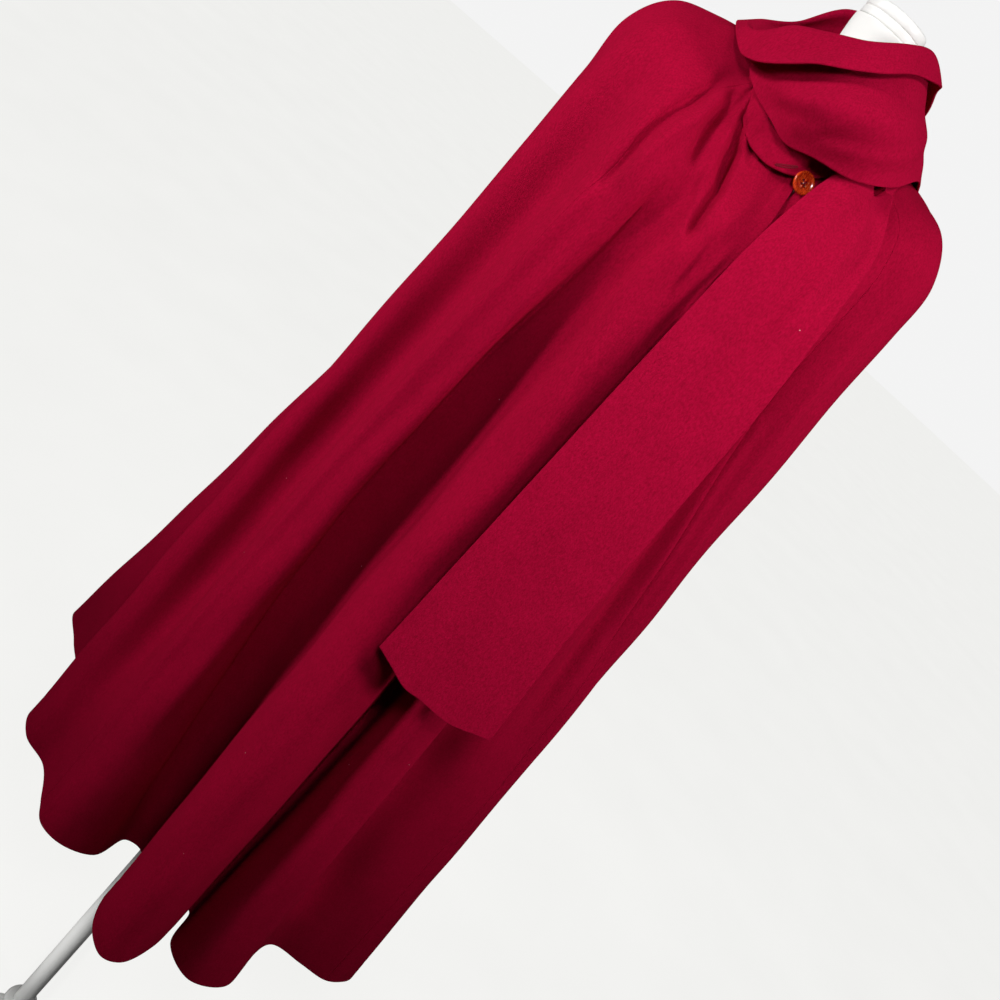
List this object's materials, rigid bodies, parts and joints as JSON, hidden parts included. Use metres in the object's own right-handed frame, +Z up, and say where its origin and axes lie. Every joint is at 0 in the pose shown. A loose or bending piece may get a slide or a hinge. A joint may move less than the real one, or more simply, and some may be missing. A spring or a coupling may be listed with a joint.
{
  "type": "opera cape on dress form",
  "caption": "Full-length buttoned wool opera cape with a long attached scarf wrapped over one shoulder, shown on a limbless dress form on a tripod stand.",
  "frame": {"origin": "middle of the overall box on the floor under the stand", "axes": "+Z up along the pole and the hang of the cape, +X to the wearer's left (the side of the front scarf end), -Y out of the front where the cape buttons"},
  "size_m": [0.7025, 0.5284, 1.894],
  "materials": {
    "crimson_wool": "brushed nap, matt",
    "band_wool": "brushed nap, matt",
    "scarf_wool": "brushed nap, matt",
    "amber_resin": "polished translucent resin",
    "form_jersey": "smooth jersey cover",
    "white_paint": "satin"
  },
  "bodies": {
    "root": {"front_right": "crimson_wool", "front_left": "crimson_wool", "side_right": "crimson_wool", "side_left": "crimson_wool", "back": "crimson_wool", "neck_band": "band_wool", "button": "amber_resin", "scarf_tail_front": "scarf_wool", "scarf_neck": "scarf_wool", "scarf_wrap": "scarf_wool", "scarf_tail_back": "scarf_wool", "form_torso": "form_jersey", "form_neck_cap": "white_paint", "stand_pole": "white_paint", "stand_hub": "white_paint", "stand_leg_back": "white_paint", "stand_leg_left": "white_paint", "stand_leg_right": "white_paint"}
  },
  "joints": []
}
